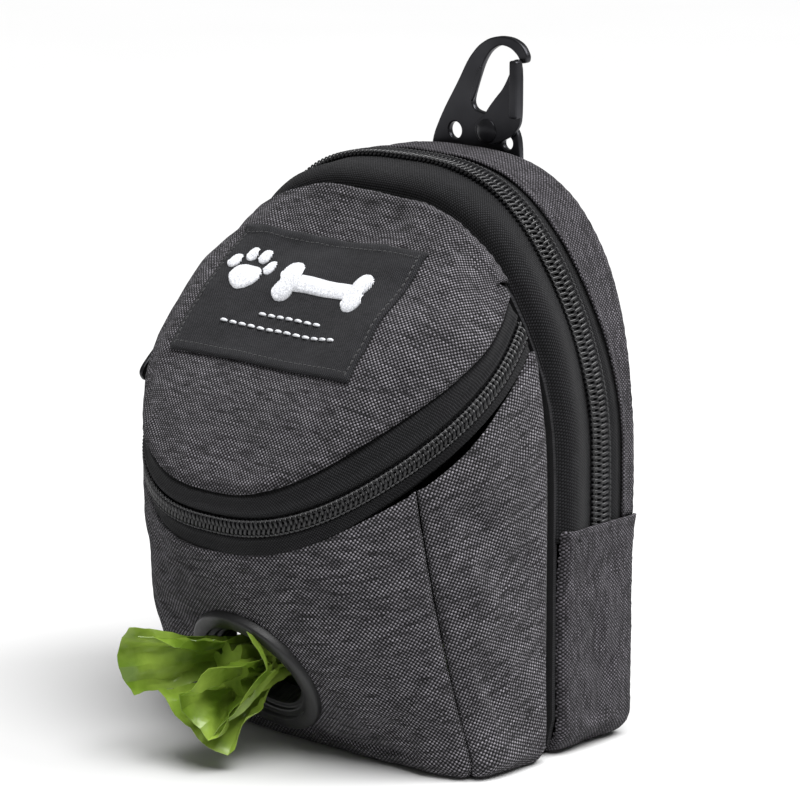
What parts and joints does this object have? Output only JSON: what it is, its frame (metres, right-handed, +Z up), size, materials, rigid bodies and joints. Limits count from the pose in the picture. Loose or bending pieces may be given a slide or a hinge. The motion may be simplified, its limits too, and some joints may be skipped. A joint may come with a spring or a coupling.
{
  "type": "dog treat pouch",
  "caption": "Fabric treat pouch shaped like a small backpack, with a zipped main compartment, a zipped front pocket, a waste-bag outlet and a metal hook clip.",
  "frame": {"origin": "on the flat underside, centred left to right, under the middle of the body's depth", "axes": "+Z up, -Y towards the front pocket, +X to the viewer's right when looking at the front"},
  "size_m": [0.1211, 0.1212, 0.175],
  "materials": {
    "grey_fabric": "matte woven",
    "fine_fabric": "matte fine woven",
    "black_tape": "matte tape",
    "black_coil": "satin nylon coil",
    "lining": "matte lining",
    "label_cloth": "woven label",
    "black_moulding": "moulded matt",
    "green_film": "thin translucent film",
    "card": "paper board",
    "gunmetal": "satin gunmetal",
    "black_metal": "satin black"
  },
  "bodies": {
    "pouch": {"base_gusset": "fine_fabric", "back_panel_lower": "fine_fabric", "hem_left": "fine_fabric", "hem_right": "fine_fabric", "main_coil_front": "black_coil", "main_tape_front": "black_tape", "front_piping": "black_tape", "divider_panel": "lining", "pocket_front": "grey_fabric", "pocket_side_left": "grey_fabric", "pocket_side_right": "grey_fabric", "pocket_floor": "lining", "lid_coil_lower": "black_coil", "lid_tape_lower": "black_tape", "outlet_ring": "black_moulding", "outlet_retainer": "black_moulding"},
    "rear_flap": {"back_panel_upper": "fine_fabric", "arch_gusset": "fine_fabric", "main_tape_rear": "black_tape", "main_coil_rear": "black_coil", "webbing_loop": "black_tape"},
    "lid": {"lid_panel": "grey_fabric", "lid_tape_upper": "black_tape", "lid_coil_upper": "black_coil", "label_patch": "label_cloth"},
    "hook": {"hook_plate": "gunmetal", "gate_rivet": "gunmetal", "gate_spring": "black_metal"},
    "gate": {"gate_lever": "gunmetal"},
    "main_slider": {"main_slider": "black_metal"},
    "main_pull": {"main_slider_pull": "black_metal"},
    "lid_slider": {"lid_slider": "black_metal"},
    "lid_pull": {"lid_slider_pull": "black_metal"},
    "roll": {"waste_bag_roll": "green_film", "roll_core": "card"},
    "tail": {"waste_bag_tail": "green_film"}
  },
  "joints": [
    {"name": "rear_open", "type": "hinge", "parent": "pouch", "child": "rear_flap", "pos_m": [0, 0.0455, 0.0583], "axis": [-1, 0, 0], "range_deg": [0, 40]},
    {"name": "lid_open", "type": "hinge", "parent": "pouch", "child": "lid", "pos_m": [0, 0.01, 0.1395], "axis": [-1, 0, 0], "range_deg": [0, 40]},
    {"name": "hook_swing", "type": "hinge", "parent": "rear_flap", "child": "hook", "pos_m": [0, 0.0489, 0.1384], "axis": [-1, 0, 0], "range_deg": [-5, 120]},
    {"name": "gate_open", "type": "hinge", "parent": "hook", "child": "gate", "pos_m": [0.0052, 0.0489, 0.1503], "axis": [0, -1, 0], "range_deg": [0, 24], "stiffness_Nm_per_rad": 0.02},
    {"name": "main_slide", "type": "slide", "parent": "pouch", "child": "main_slider", "axis": [0, 0, 1], "range_m": [0, 0.03]},
    {"name": "main_pull_swing", "type": "hinge", "parent": "main_slider", "child": "main_pull", "pos_m": [-0.06065, 0.0321, 0.069], "axis": [0, 1, 0], "range_deg": [0, 170]},
    {"name": "lid_slide", "type": "slide", "parent": "pouch", "child": "lid_slider", "axis": [0.0015, -0.7559, -0.6547], "range_m": [0, 0.012]},
    {"name": "lid_pull_swing", "type": "hinge", "parent": "lid_slider", "child": "lid_pull", "pos_m": [-0.05644, -0.00288, 0.09968], "axis": [-0.2251, 0.6376, -0.7367], "range_deg": [0, 150]},
    {"name": "roll_spin", "type": "hinge", "parent": "pouch", "child": "roll", "pos_m": [0, -0.0015, 0.0185], "axis": [1, 0, 0], "range_deg": [0, 60]},
    {"name": "tail_pull", "type": "slide", "parent": "pouch", "child": "tail", "axis": [0, -0.9703, -0.2419], "range_m": [0, 0.0131]}
  ],
  "couplings": [
    {"joint": "tail_pull", "follows": "roll_spin", "m_per_rad": 0.0125}
  ]
}
